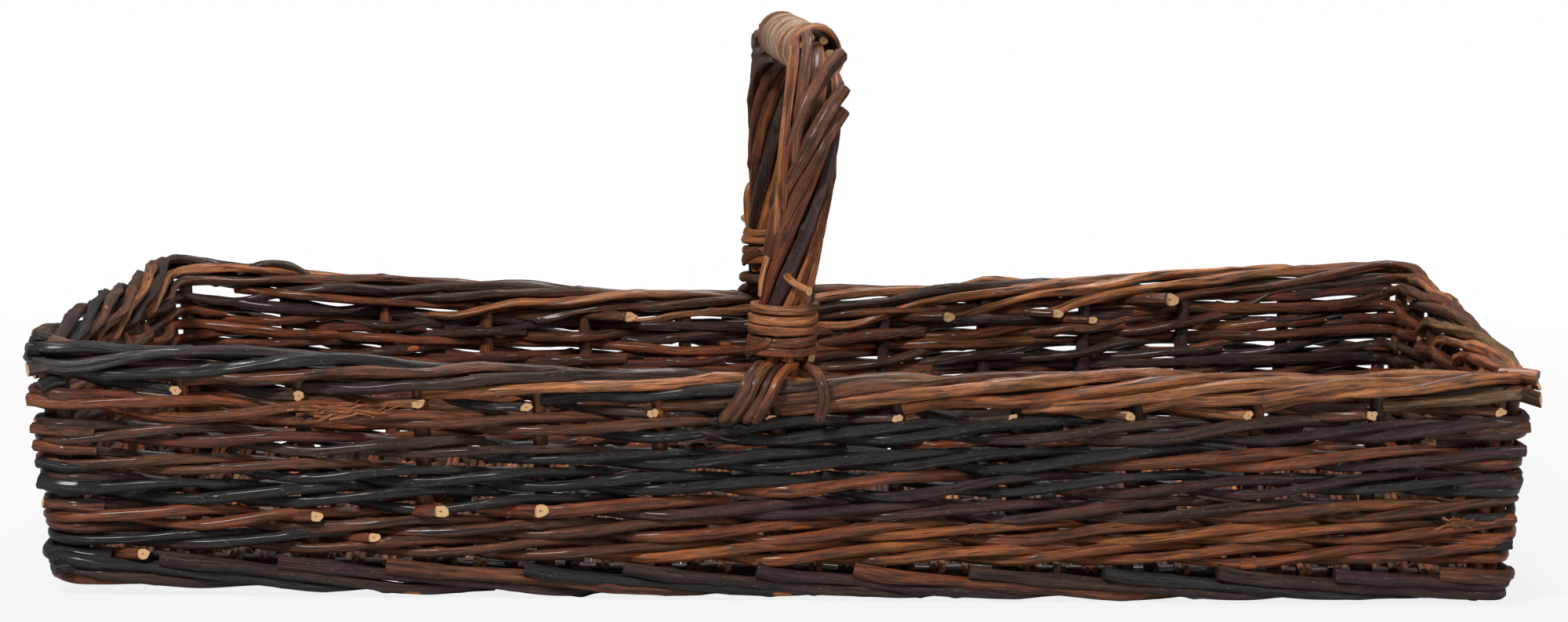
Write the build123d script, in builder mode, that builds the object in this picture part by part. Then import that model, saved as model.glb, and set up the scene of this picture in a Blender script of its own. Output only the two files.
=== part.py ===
"""Rectangular garden trug of unpeeled willow, with a fixed roped handle across its middle.

Millimetres. X runs along the basket, Y from front to rear, Z up from the floor.
Walls are counted anticlockwise seen from above: front, right end, rear, left end.
"""
import os
from math import cos, hypot, pi, radians, sin

from build123d import *

# Whole basket
outer_length = 608.0          # over the top border
outer_depth = 300.0           # over the top border
wall_height = 92.0            # floor to the top of the border, at the middle of a long wall
wall_flare = 9.0              # how far each wall leans out from the floor to the rim
corner_radius = 7.0           # of the line that the stakes stand on

# How far the rim's corners stand above the middle, and how late the rise begins
front_left_rise = 15.0
front_right_rise = 5.0
rear_left_rise = 16.0
rear_right_rise = 18.0
front_rise_power_share = 1.3
rear_left_power_share = 2.0
rear_right_power_share = 0.9
left_foot_lift = 4.0          # the foot's left end stands clear of the floor
foot_lift_power_share = 3.0

# Stakes
stakes_per_long_wall = 13
stakes_per_end_wall = 7
stake_rod = 6.3
stake_foot = 1.5              # the stakes end this far above the floor

# Clearances and cuts
rod_gap = 0.35                # between rods that pass each other
seat_gap = 0.2                # between a rod's end and what it stands on
cut_overrun = 20.0

# Wall weave: rounds of three-rod waling
rods_per_round = 3
upsett_rounds = 2
upsett_rod = 3.8
wale_rod = 4.3
wale_spread_share = 1.15      # height between the two outside rods, in rod widths
weaver_end_share = 0.06       # of a stake gap, left between a weaver's two ends
first_join_position = 3       # the weavers' ends meet behind the third stake of the front wall

# Foot border
foot_rod = 4.6
foot_stakes_passed = 3
foot_step_share = 1.07        # height between foot rods, in rod widths
foot_cut_share = 0.1          # of a foot rod, cut flat where it stands on the floor
foot_butt_share = 0.25        # of a stake gap, by which a butt stands before its stake
foot_tuck_share = 0.55        # of a stake gap, from the last stake to the tucked end

# Rolled top border
border_rods = 6               # lie round the core at any place
border_rod = 4.7
border_core_rod = 3.8
border_ring = 5.7             # core centre to rod centre
border_start_angle = -75.0    # where a stake begins its roll; 0 is straight out
border_dip_share = 0.4        # of a stake gap, where a rod's end dips under the border
stub_before_share = 0.03      # of a stake gap, by which a cut stub stops before the stake
stub_drop_share = 0.6         # a stub's height under the ring, in border rods
core_step = 3                 # stakes between the core's bends

# Base
base_sticks = 7
base_stick = 6.5
base_weaver = 2.8
base_stick_bends = 6          # runs in a stick that follows the foot's lift
base_pairs = 38
base_end_gap = 12.0           # first pair of weavers from the end stakes

# Handle
bow_rod = 9.0
crown_height = 217.5          # floor to the bow's centre at the crown
crown_corner_radius = 42.0
leg_bend_radius = 130.0
leg_bend_rise = 14.0          # above the rim, where a leg turns upright
crown_corner_inset = 3.0      # crown corners stand inside the legs' bends
front_leg_x = 0.5
rear_leg_x = -6.0
front_crown_x = 17.0
rear_crown_x = -6.5

roping_rods = 7               # on each leg
roping_rod = 5.4
roping_slack = 0.9            # between the bow and the roping rods
roping_swell = 3.0            # extra ring radius half way up a leg
roping_pitch = 210.0          # leg length of one full turn
roping_steps = 8
roping_top_gap = 4.0          # between the roping rods' tops and the crown wrap
crown_tip_rod = 3.6
crown_tip_slack = 0.2

# Wraps
wrap_width = 6.7
wrap_thickness = 2.0
crown_wrap_turns = 22
binding_width = 3.7
binding_thickness = 2.3
binding_pitch = 4.3
front_binding_turns = 5
rear_binding_turns = 4
front_binding_rise = 9.0      # above the rim's top, to the first turn
rear_binding_rise = 15.0
wrap_runs = 8                 # straight runs in one turn

# Tails of the roping rods, under the bindings
tail_rod = 4.0
tail_clearance = 2.2          # under the roping rods' slanting ends
tail_drop = 18.0              # below the border's top, to a tail's cut end
tail_spacing = 4.6            # between the cut ends of neighbouring tails
tail_fan_shift = 23.5         # from the leg to the leftmost tail's end
outer_tails = 4
stray_tail_shift = 15.0       # from the leg to the one tail that leans the other way
stray_tail_angle = -12.0      # where it leaves the binding; -90 is towards the front
first_tail_angle = -150.0
tail_angle_step = 33.0
inner_tails = 3

section_sides = 4             # of the woven rods
round_sides = 6               # of the thick rods

# Worked-out sizes of the rim and the stakes
border_radius = border_ring + border_rod / 2
rim_half_length = outer_length / 2 - border_radius
rim_half_depth = outer_depth / 2 - border_radius
border_level = wall_height - border_radius
long_gaps = stakes_per_long_wall - 1
end_gaps = stakes_per_end_wall - 1
positions = 2 * (long_gaps + end_gaps)
corner_positions = (0, long_gaps, long_gaps + end_gaps, 2 * long_gaps + end_gaps)
walls = ("front", "right", "rear", "left")
eighth_turn = radians(45)
sixteenth_turn = radians(22.5)

# Worked-out sizes of the foot and the weave
foot_step = foot_rod * foot_step_share
foot_low = foot_rod / 2 - foot_rod * foot_cut_share
foot_top = foot_low + foot_step * (foot_stakes_passed - 1 + foot_butt_share) + foot_rod / 2
weave_bottom = foot_top + rod_gap
stub_level = border_level - border_ring - border_rod * stub_drop_share
weave_top = stub_level - border_rod / 2 - rod_gap / 2
upsett_stack = upsett_rod * (1 + wale_spread_share) + rod_gap / 2
wale_stack = wale_rod * (1 + wale_spread_share) + rod_gap / 2
wale_zone = weave_top - weave_bottom - upsett_rounds * upsett_stack
wale_rounds = int(wale_zone // wale_stack)
base_level = weave_bottom - base_stick / 2 - base_weaver - rod_gap


def rim_rise(x, y):
    """Height of the rim at x, y above its height at the middle of the long walls."""
    reach = min(abs(x) / rim_half_length, 1)
    depth_share = (y + rim_half_depth) / (2 * rim_half_depth)
    if x < 0:
        front = front_left_rise * reach ** front_rise_power_share
        rear = rear_left_rise * reach ** rear_left_power_share
    else:
        front = front_right_rise * reach ** front_rise_power_share
        rear = rear_right_rise * reach ** rear_right_power_share
    return front + (rear - front) * depth_share


def foot_rise(x):
    """Height of the foot above the floor at x."""
    return left_foot_lift * max(-x / rim_half_length, 0) ** foot_lift_power_share


def height_at(level, x, y):
    """Height of a level that is stated for the middle of a long wall."""
    low = foot_rise(x)
    stretch = (wall_height + rim_rise(x, y) - low) / wall_height
    return low + level * stretch


def wall_frame(wall, level):
    """Half length of a wall's straight part and its stake line's distance from the centre."""
    inset = wall_flare * (1 - level / wall_height)
    half_length = rim_half_length - inset
    half_depth = rim_half_depth - inset
    if wall % 2 == 0:
        return half_length - corner_radius, half_depth
    return half_depth - corner_radius, half_length


def turned(wall, along, out):
    """Plan position of a point that lies along a wall and out from the basket's centre."""
    return [(along, -out), (out, along), (-along, out), (-out, -along)][wall % 4]


def raised(plan, level):
    """Point at a level over a plan position."""
    x, y = plan
    return (x, y, height_at(level, x, y))


def on_wall(position, offset, level):
    """Point between two corners, by its count of stake gaps and its offset from the stakes."""
    position = position % positions
    wall = max(index for index, corner in enumerate(corner_positions) if corner <= position)
    gaps = long_gaps if wall % 2 == 0 else end_gaps
    half_along, half_out = wall_frame(wall, level)
    share = (position - corner_positions[wall]) / gaps
    return raised(turned(wall, half_along * (2 * share - 1), half_out + offset), level)


def round_corner(wall, offset, level, angles):
    """Points round the corner where a wall starts; angles are measured from the wall before."""
    half_along, half_out = wall_frame(wall, level)
    points = []
    for angle, radius in angles:
        along = -half_along - radius * cos(angle)
        out = half_out - corner_radius + radius * sin(angle)
        points.append(raised(turned(wall, along, out), level))
    return points


def passing(position, offset, level, before=False, after=False):
    """Points of a rod that passes a stake, or the pair of stakes at a corner."""
    position = position % positions
    if position not in corner_positions:
        return [on_wall(position, offset, level)]
    wall = corner_positions.index(position)
    radius = corner_radius + offset
    if offset <= 0:
        return round_corner(wall, offset, level, [(eighth_turn, radius / cos(eighth_turn))])
    bend = radius / cos(sixteenth_turn)
    angles = [(sixteenth_turn, bend), (3 * sixteenth_turn, bend)]
    if before:
        angles = [(0, radius)] + angles
    if after:
        angles = angles + [(2 * eighth_turn, radius)]
    return round_corner(wall, offset, level, angles)


def straight_rod(points, radius, sides, turn=0.0):
    """Rod of flat sides along straight runs with mitred bends."""
    start = Vector(*points[0])
    direction = (Vector(*points[1]) - start).normalized()
    level_side = Vector(0, 0, 1).cross(direction)
    if level_side.length < sin(sixteenth_turn):
        level_side = Vector(1, 0, 0)
    with BuildPart() as rod:
        with BuildLine():
            Polyline(*points)
        with BuildSketch(Plane(origin=start, x_dir=level_side, z_dir=direction)):
            RegularPolygon(radius, sides, rotation=turn)
        sweep(transition=Transition.RIGHT)
    return rod.part


def gently_bent_rod(points, radius, sides):
    """Rod of flat sides through one section at each point, for bends too slight to mitre."""
    before = [points[0]] + points[:-1]
    after = points[1:] + [points[-1]]
    with BuildPart() as rod:
        for last, here, following in zip(before, points, after):
            direction = Vector(*following) - Vector(*last)
            level_side = Vector(0, 0, 1).cross(direction)
            with BuildSketch(Plane(origin=here, x_dir=level_side, z_dir=direction)):
                RegularPolygon(radius, sides)
        loft(ruled=True)
    return rod.part


def save(part, name):
    """Write one finished piece or group of pieces under its name."""
    part.label = name
    export_step(part, f"parts/{name}.step")


def save_group(rods, name):
    """Write separate rods of one kind as one group."""
    save(Compound(children=rods), name)


# Stakes


def stake(position, wall_end=None):
    """One upright stake from the foot to the underside of the border."""
    top = border_level - border_radius - rod_gap
    foot = on_wall(position, 0, stake_foot)
    head = on_wall(position, 0, top)
    if wall_end is not None:
        angle = 0 if wall_end == "before" else 2 * eighth_turn
        wall = corner_positions.index(position % positions)
        foot = round_corner(wall, 0, stake_foot, [(angle, corner_radius)])[0]
        head = round_corner(wall, 0, top, [(angle, corner_radius)])[0]
    return straight_rod([foot, head], stake_rod / 2, round_sides)


def stakes_of(wall):
    """All stakes of one wall, counting its own stake at each corner."""
    first = corner_positions[wall]
    last = first + (long_gaps if wall % 2 == 0 else end_gaps)
    stakes = [stake(first, "after")]
    stakes += [stake(position) for position in range(first + 1, last)]
    stakes.append(stake(last, "before"))
    return stakes


# Wall weave


def weaver_path(first, rod, middle):
    """Three-rod waling: out past two stakes, rising, then down and in behind the third."""
    out = stake_rod / 2 + rod_gap + rod / 2
    low = middle - rod * wale_spread_share / 2
    high = middle + rod * wale_spread_share / 2
    inside = -out
    points = [on_wall(first + weaver_end_share, inside, low)]
    for step in range(1, positions + 1):
        position = first + step
        if step % rods_per_round == 1:
            points += passing(position, out, low, before=True)
        elif step % rods_per_round == 2:
            points += passing(position, out, high, after=True)
            points.append(on_wall(position + 1 / 2, 0, high))
        elif step < positions:
            points += passing(position, inside, low)
    points.append(on_wall(first - weaver_end_share, inside, low))
    return points


def round_middles():
    """Middle level of each round and the rod it is worked with, from the foot up."""
    upsett = [(weave_bottom + upsett_stack * (index + 1 / 2), upsett_rod)
              for index in range(upsett_rounds)]
    wale_foot = weave_bottom + upsett_rounds * upsett_stack
    wale_pitch = wale_zone / wale_rounds
    wale = [(wale_foot + wale_pitch * (index + 1 / 2), wale_rod) for index in range(wale_rounds)]
    return upsett + wale


# Foot border


def foot_border_path(position):
    """From a blunt butt down past three stakes, then in between two stakes."""
    out = stake_rod / 2 + rod_gap + foot_rod / 2
    steps = foot_stakes_passed - 1
    points = [on_wall(position - foot_butt_share, out, foot_low + foot_step * (steps + foot_butt_share))]
    for step in range(steps):
        if (position + step) % positions in corner_positions:
            points += passing(position + step, out, foot_low + foot_step * (steps - step))
    points += passing(position + steps, out, foot_low, after=True)
    points.append(on_wall(position + steps + foot_tuck_share, 0, foot_low))
    return points


def cut_at_floor(rod):
    """Cut a rod flat where it stands on the floor."""
    with BuildPart() as cut:
        add(rod)
        with BuildSketch(Plane.XY):
            Rectangle(outer_length + cut_overrun, outer_depth + cut_overrun)
        extrude(amount=-cut_overrun, mode=Mode.SUBTRACT)
    return cut.part


# Rolled border


def rolled_points(position, angle, radius, **ends):
    """Points on the ring round the border's core at a stake."""
    offset = radius * cos(radians(angle))
    level = border_level + radius * sin(radians(angle))
    return passing(position, offset, level, **ends)


def border_path(position):
    """One stake's roll: up outside, over, down inside, and out again under the border."""
    turn = 360 / border_rods
    start_offset = border_ring * cos(radians(border_start_angle))
    start_level = border_level + border_ring * sin(radians(border_start_angle))
    points = [on_wall(position + stub_before_share, start_offset, start_level)]
    for step in range(1, border_rods):
        points += rolled_points(position + step, border_start_angle + turn * step, border_ring)
    end = position + border_rods
    dip = stub_level - rod_gap
    points.append(on_wall(end - 1 + border_dip_share, -border_ring / 2, dip))
    stub_offset = stake_rod / 2 + rod_gap + border_rod / 2
    points.append(on_wall(end - stub_before_share, stub_offset, stub_level))
    return points


def border_core_path():
    """The core's line round the rim, ending where it starts behind the rear wall."""
    first = corner_positions[2] + core_step
    points = [on_wall(first, 0, border_level)]
    for position in range(first + core_step, first + positions, core_step):
        points += passing(position, 0, border_level, before=True, after=True)
    points.append(on_wall(first - weaver_end_share, 0, border_level))
    return points


# Base


def base_stick_y(index):
    """Places of the lengthwise sticks, the outermost ones inside the stakes."""
    edge = wall_frame(0, base_level)[1] - stake_rod / 2 - rod_gap - base_stick / 2
    return edge * (2 * index / (base_sticks - 1) - 1)


def base_stick_path(index):
    """One lengthwise stick, from one end wall's stakes to the other's."""
    end = wall_frame(1, base_level)[1] - stake_rod / 2 - rod_gap
    y = base_stick_y(index)
    shares = [2 * step / base_stick_bends - 1 for step in range(base_stick_bends + 1)]
    return [raised((end * share, y), base_level) for share in shares]


def base_pair_path(index):
    """Two thin rods side by side, over and under the sticks by turns."""
    sway = base_stick / 2 + base_weaver / 2 + rod_gap / 2
    reach = wall_frame(1, base_level)[1] - base_end_gap
    x = reach * (2 * index / (base_pairs - 1) - 1)
    edge = wall_frame(0, base_level)[1] - stake_rod / 2 - rod_gap
    side = 1 if index % 2 == 0 else -1
    points = [raised((x, -edge), base_level + side * sway)]
    for stick in range(base_sticks):
        points.append(raised((x, base_stick_y(stick)), base_level + side * sway))
        side = -side
    points.append(raised((x, edge), base_level - side * sway))
    return points


def base_pair(index):
    """Two thin rods side by side, drawn as one flat strip."""
    points = base_pair_path(index)
    start = Vector(*points[0])
    direction = (Vector(*points[1]) - start).normalized()
    with BuildPart() as pair:
        with BuildLine():
            Polyline(*points)
        with BuildSketch(Plane(origin=start, x_dir=Vector(1, 0, 0), z_dir=direction)):
            Rectangle(2 * base_weaver, base_weaver)
        sweep(transition=Transition.RIGHT)
    return pair.part


# Handle


inner_face = max(border_radius, stake_rod / 2 + rod_gap + wale_rod)
bow_inset = inner_face + rod_gap + bow_rod / 2
bow_foot_level = base_level + base_stick / 2 + base_weaver + rod_gap / 2 + seat_gap
tight_ring = bow_rod / 2 + roping_slack + roping_rod / 2
tip_ring = bow_rod / 2 + crown_tip_slack + crown_tip_rod / 2
wrap_ring = tip_ring + crown_tip_rod / 2 + rod_gap + wrap_thickness / 2
binding_ring = tight_ring + roping_rod / 2 + rod_gap + binding_thickness / 2


def bow_points():
    """Bow's foot, leg bend and crown corner at the front, then the same at the rear."""
    foot_y = wall_frame(0, bow_foot_level)[1] - bow_inset
    bend_y = wall_frame(0, wall_height)[1] - bow_inset
    bend_z = wall_height + leg_bend_rise
    crown_y = bend_y - crown_corner_inset
    return [(front_leg_x, -foot_y, bow_foot_level), (front_leg_x, -bend_y, bend_z),
            (front_crown_x, -crown_y, crown_height), (rear_crown_x, crown_y, crown_height),
            (rear_leg_x, bend_y, bend_z), (rear_leg_x, foot_y, bow_foot_level)]


with BuildPart() as handle_bow:
    with BuildLine() as bow_line:
        bend_radii = [leg_bend_radius, crown_corner_radius, crown_corner_radius, leg_bend_radius]
        FilletPolyline(*bow_points(), radius=bend_radii)
    bow_path = bow_line.wire()
    with BuildSketch(Plane(origin=bow_path @ 0, z_dir=bow_path % 0)):
        RegularPolygon(bow_rod / 2, round_sides)
    sweep()

crown_line = bow_line.edges().filter_by(GeomType.LINE).sort_by(Axis.Z)[-1]
crown_ends = crown_line.vertices().sort_by(Axis.Y)
front_crown_end = Vector(*crown_ends[0])
rear_crown_end = Vector(*crown_ends[-1])
crown_direction = (rear_crown_end - front_crown_end).normalized()
handle_side = crown_direction.cross(Vector(0, 0, 1)).normalized()


def leg_length(leg):
    """Length of the bow from a leg's foot to the crown's straight part."""
    toward = -1 if leg == "front" else 1
    return sum(edge.length for edge in bow_line.edges() if edge.center().Y * toward > bow_rod)


def leg_place(leg, distance, angle, radius):
    """Point beside a leg, at a length up the bow, turned by an angle from the handle's side."""
    along = distance if leg == "front" else bow_path.length - distance
    centre = bow_path.position_at(along, position_mode=PositionMode.LENGTH)
    upward = bow_path.tangent_at(along, position_mode=PositionMode.LENGTH)
    if leg == "rear":
        upward = upward * -1
    across = upward.cross(handle_side)
    place = centre + handle_side * (radius * cos(angle)) + across * (radius * sin(angle))
    return (place.X, place.Y, place.Z)


def rim_distance(leg):
    """Length up the bow from a leg's foot to the top of the border beside it."""
    foot = bow_points()[0]
    side = -1 if leg == "front" else 1
    x = front_leg_x if leg == "front" else rear_leg_x
    rise = height_at(wall_height, x, side * rim_half_depth) - foot[2]
    lean = bow_points()[1][1] - foot[1]
    return rise * hypot(1, lean / (bow_points()[1][2] - foot[2]))


def binding_distance(leg):
    """Length up the bow from a leg's foot to the first turn of its binding."""
    return rim_distance(leg) + (front_binding_rise if leg == "front" else rear_binding_rise)


def roping_path(leg, index):
    """One roping rod, twisted up a leg from under the binding to the crown wrap."""
    first = binding_distance(leg) - binding_width
    last = leg_length(leg) - roping_top_gap
    points = []
    for step in range(roping_steps + 1):
        share = step / roping_steps
        distance = first + (last - first) * share
        angle = 2 * pi * (index / roping_rods + (distance - first) / roping_pitch)
        swell = roping_swell * sin(pi * share) ** 2
        points.append(leg_place(leg, distance, angle, tight_ring + swell))
    return points


def crown_tip_path(index):
    """One thin rod end along the crown, under the wrap."""
    angle = 2 * pi * index / roping_rods
    up = Vector(0, 0, 1)
    beside = handle_side * (tip_ring * cos(angle)) + up * (tip_ring * sin(angle))
    ends = [front_crown_end + beside, rear_crown_end + beside]
    return [(end.X, end.Y, end.Z) for end in ends]


def wound_path(centre, axis, side, radius, pitch, turns):
    """Turns round a straight axis, as short runs that clear what lies inside the ring."""
    across = axis.cross(side)
    runs = turns * wrap_runs
    step_angle = 2 * pi / wrap_runs
    reach = radius / cos(step_angle / 2)
    points = []
    for step in range(runs + 1):
        angle = step * step_angle
        place = centre + axis * (pitch * step / wrap_runs)
        place += side * (reach * cos(angle)) + across * (reach * sin(angle))
        points.append((place.X, place.Y, place.Z))
    return points


def least_gap(points, pitch_steps, width):
    """Least distance between a winding's neighbouring turns, less its width."""
    pairs = zip(points[:-pitch_steps], points[pitch_steps:])
    return min((Vector(*high) - Vector(*low)).length for low, high in pairs) - width


def wrap(points, centre, axis, width, thickness):
    """Split rod wound round a straight axis, its flat side in."""
    with BuildPart() as wound:
        for point in points:
            spoke = Vector(*point) - centre
            outward = (spoke - axis * spoke.dot(axis)).normalized()
            with BuildSketch(Plane(origin=point, x_dir=axis, z_dir=axis.cross(outward))):
                Rectangle(width, thickness)
        loft(ruled=True)
    return wound.part


# Tails


def tail_start(leg, angle):
    """Where a tail leaves the underside of its leg's binding."""
    distance = binding_distance(leg) - binding_width - tail_clearance
    return leg_place(leg, distance, radians(angle), tight_ring)


def outer_tail_path(leg, angle, shift):
    """A tail that goes over the border and down its outer face."""
    toward = -1 if leg == "front" else 1
    leg_x = front_leg_x if leg == "front" else rear_leg_x
    start = tail_start(leg, toward * -angle)
    bend = (border_radius + tail_rod / 2 + rod_gap) / cos(sixteenth_turn)
    border_y = toward * wall_frame(0, border_level)[1]
    border_z = height_at(border_level, leg_x, border_y)
    points = [start]
    over = (2 * eighth_turn, eighth_turn, 0)
    for step, turn in enumerate(over):
        x = start[0] + (leg_x + shift - start[0]) * (step + 1) / (len(over) + 1)
        points.append((x, border_y + toward * bend * cos(turn), border_z + bend * sin(turn)))
    end_z = height_at(wall_height, leg_x, border_y) - tail_drop
    points.append((leg_x + shift, border_y + toward * bend, end_z))
    return points


def inner_tail_path(leg, angle, shift):
    """A tail that goes straight down inside the border, beside the bow."""
    toward = -1 if leg == "front" else 1
    start = tail_start(leg, -toward * angle)
    end_z = height_at(wall_height, start[0], start[1]) - tail_drop
    return [start, (start[0] + shift, start[1], end_z)]


def tails_of(leg):
    """The fan of tails on one leg: outside, leaning one way, and inside."""
    paths = []
    for index in range(outer_tails):
        shift = tail_spacing * index - tail_fan_shift
        paths.append(outer_tail_path(leg, first_tail_angle + tail_angle_step * index, shift))
    paths.append(outer_tail_path(leg, stray_tail_angle, stray_tail_shift))
    for index in range(inner_tails):
        angle = first_tail_angle + tail_angle_step * (index + 1)
        paths.append(inner_tail_path(leg, -angle, 0))
    return [straight_rod(path, tail_rod / 2, section_sides) for path in paths]


# Pieces

os.makedirs("parts", exist_ok=True)

for wall, wall_name in enumerate(walls):
    save_group(stakes_of(wall), f"stakes_{wall_name}")

for round_number, (middle, rod) in enumerate(round_middles(), start=1):
    for weaver in range(rods_per_round):
        path = weaver_path(first_join_position + weaver, rod, middle)
        save(straight_rod(path, rod / 2, section_sides), f"wale_{round_number}_rod_{weaver + 1}")

for wall, wall_name in enumerate(walls):
    first = corner_positions[wall]
    last = first + (long_gaps if wall % 2 == 0 else end_gaps)
    feet = [straight_rod(foot_border_path(position), foot_rod / 2, section_sides)
            for position in range(first, last)]
    save_group([cut_at_floor(rod) for rod in feet], f"foot_border_{wall_name}")
    rolls = [straight_rod(border_path(position), border_rod / 2, section_sides)
             for position in range(first, last)]
    save_group(rolls, f"top_border_{wall_name}")

save(gently_bent_rod(border_core_path(), border_core_rod / 2, round_sides), "top_border_core")

sticks = [gently_bent_rod(base_stick_path(index), base_stick / 2, round_sides)
          for index in range(base_sticks)]
save_group(sticks, "base_sticks")
save_group([base_pair(index) for index in range(base_pairs)], "base_weave")

save(handle_bow.part, "handle_bow")
for leg in ("front", "rear"):
    ropes = [straight_rod(roping_path(leg, index), roping_rod / 2, section_sides)
             for index in range(roping_rods)]
    save_group(ropes, f"roping_rods_{leg}")
    save_group(tails_of(leg), f"roping_tails_{leg}")
tips = [straight_rod(crown_tip_path(index), crown_tip_rod / 2, section_sides)
        for index in range(roping_rods)]
save_group(tips, "crown_rod_tips")

crown_length = (rear_crown_end - front_crown_end).length
crown_pitch = (crown_length - wrap_width) / crown_wrap_turns
wrap_start = front_crown_end + crown_direction * (wrap_width / 2)
crown_turns = wound_path(wrap_start, crown_direction, handle_side, wrap_ring, crown_pitch,
                         crown_wrap_turns)
crown_wrap = wrap(crown_turns, wrap_start, crown_direction, wrap_width, wrap_thickness)
save(crown_wrap, "crown_wrap")
print("crown wrap, least gap between turns", round(least_gap(crown_turns, wrap_runs, wrap_width), 2))

bindings = []
for leg, binding_turns in (("front", front_binding_turns), ("rear", rear_binding_turns)):
    distance = binding_distance(leg)
    binding_height = binding_pitch * (binding_turns - 1)
    low = Vector(*leg_place(leg, distance, 0, 0))
    high = Vector(*leg_place(leg, distance + binding_height, 0, 0))
    axis = (high - low).normalized()
    side = axis.cross(handle_side).cross(axis).normalized()
    turns = wound_path(low, axis, side, binding_ring, binding_pitch, binding_turns)
    bindings.append(wrap(turns, low, axis, binding_width, binding_thickness))
    gap = least_gap(turns, wrap_runs, binding_width)
    print(leg, "binding, least gap between turns", round(gap, 2))
save_group(bindings, "leg_bindings")
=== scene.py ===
"""Unpeeled willow garden trug: every rod with its bark, knots and pale cut ends.

Metres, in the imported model's frame. X runs along the basket, Y from front to rear, Z up.
Walls are counted anticlockwise seen from above: front, right end, rear, left end.
"""
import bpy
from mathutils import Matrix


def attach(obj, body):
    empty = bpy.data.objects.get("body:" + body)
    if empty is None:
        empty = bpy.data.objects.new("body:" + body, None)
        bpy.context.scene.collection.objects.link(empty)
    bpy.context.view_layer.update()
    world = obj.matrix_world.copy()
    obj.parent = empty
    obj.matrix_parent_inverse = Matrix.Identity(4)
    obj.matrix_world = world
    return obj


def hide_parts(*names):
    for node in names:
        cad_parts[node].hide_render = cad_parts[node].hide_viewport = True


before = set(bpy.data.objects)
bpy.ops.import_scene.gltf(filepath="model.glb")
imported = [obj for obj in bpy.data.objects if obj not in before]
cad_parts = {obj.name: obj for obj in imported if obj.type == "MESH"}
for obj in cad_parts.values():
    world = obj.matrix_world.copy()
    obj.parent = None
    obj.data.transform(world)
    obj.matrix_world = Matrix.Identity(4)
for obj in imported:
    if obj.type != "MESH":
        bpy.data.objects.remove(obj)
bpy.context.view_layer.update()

import zlib
from math import cos, hypot, pi, radians, sin, tau

import bpy
import numpy as np
from mathutils import Vector

scene = bpy.context.scene
MM = 0.001

# The basket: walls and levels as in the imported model, some rods up to half a millimetre thicker
outer_length = 608 * MM
outer_depth = 300 * MM
wall_height = 92 * MM
wall_flare = 9 * MM
corner_radius = 7 * MM
# the rim's rise at the front and rear corner of each end, and the power of its sweep
left_rises = ((15 * MM, 1.3), (16 * MM, 2.0))
right_rises = ((5 * MM, 1.3), (18 * MM, 0.9))
left_foot_lift = 4 * MM
foot_lift_power = 3.0
long_gaps = 12
end_gaps = 6
positions = 2 * (long_gaps + end_gaps)
corner_positions = (0, long_gaps, long_gaps + end_gaps, 2 * long_gaps + end_gaps)
walls = ("front", "right", "rear", "left")
wall_gaps = (long_gaps, end_gaps, long_gaps, end_gaps)

stake_rod = 6.3 * MM
rod_gap = 0.35 * MM
weaver_rod = 4.4 * MM
upsett_rod = 4.3 * MM
wale_spread = 1.2
first_join_position = 3
foot_rod = 4.9 * MM
border_rod = 4.9 * MM
border_core_rod = 3.8 * MM
border_ring = 5.6 * MM
border_radius = 8.05 * MM
border_level = wall_height - border_radius
round_levels = (19.9 * MM, 28.3 * MM, 37.5 * MM, 47.5 * MM, 57.9 * MM, 69.0 * MM)
upsett_rounds = 2

rim_half_length = outer_length / 2 - border_radius
rim_half_depth = outer_depth / 2 - border_radius

# Bark colours as they look in daylight, red, green and blue out of 255
palette = {
    "rust": (112, 58, 28), "copper": (140, 80, 38), "brown": (92, 51, 27), "russet": (86, 38, 22),
    "plum": (54, 26, 23), "ink": (24, 18, 16), "coal": (34, 28, 25), "slate": (60, 54, 50),
    "olive": (110, 80, 48), "tan": (150, 94, 54), "straw": (188, 144, 94), "umber": (57, 35, 23),
    "wrap": (166, 134, 108),
}


def linear(colour):
    """A colour out of 255 as linear light."""
    shares = np.array(colour, float) / 255
    return np.where(shares <= 0.04045, shares / 12.92, ((shares + 0.055) / 1.055) ** 2.4)


def seeded(name):
    """Random numbers that are the same in each run."""
    return np.random.default_rng(zlib.crc32(name.encode()))


def added(name, data):
    """A new object in the scene."""
    item = bpy.data.objects.new(name, data)
    scene.collection.objects.link(item)
    return item


# Layout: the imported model's scheme


def rim_rise(x, y):
    reach = min(abs(x) / rim_half_length, 1)
    depth_share = (y + rim_half_depth) / (2 * rim_half_depth)
    front, rear = (rise * reach ** power for rise, power in (left_rises if x < 0 else right_rises))
    return front + (rear - front) * depth_share


def foot_rise(x):
    return left_foot_lift * max(-x / rim_half_length, 0) ** foot_lift_power


def height_at(level, x, y):
    """Height of a level that is stated for the middle of a long wall."""
    low = foot_rise(x)
    return low + level * (wall_height + rim_rise(x, y) - low) / wall_height


def wall_frame(wall, level):
    """Half length of a wall's straight part and its stake line's distance from the centre."""
    inset = wall_flare * (1 - level / wall_height)
    half_length = rim_half_length - inset
    half_depth = rim_half_depth - inset
    if wall % 2 == 0:
        return half_length - corner_radius, half_depth
    return half_depth - corner_radius, half_length


def turned(wall, along, out):
    """Plan position of a point that lies along a wall and out from the basket's centre."""
    return [(along, -out), (out, along), (-along, out), (-out, -along)][wall % 4]


def raised(plan, level):
    x, y = plan
    return (x, y, height_at(level, x, y))


def wall_of(position):
    position = position % positions
    return max(index for index, corner in enumerate(corner_positions) if corner <= position)


def on_wall(position, offset, level):
    """Point between two corners, by its count of stake gaps and its offset from the stakes."""
    position = position % positions
    wall = wall_of(position)
    half_along, half_out = wall_frame(wall, level)
    share = (position - corner_positions[wall]) / wall_gaps[wall]
    return raised(turned(wall, half_along * (2 * share - 1), half_out + offset), level)


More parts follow.
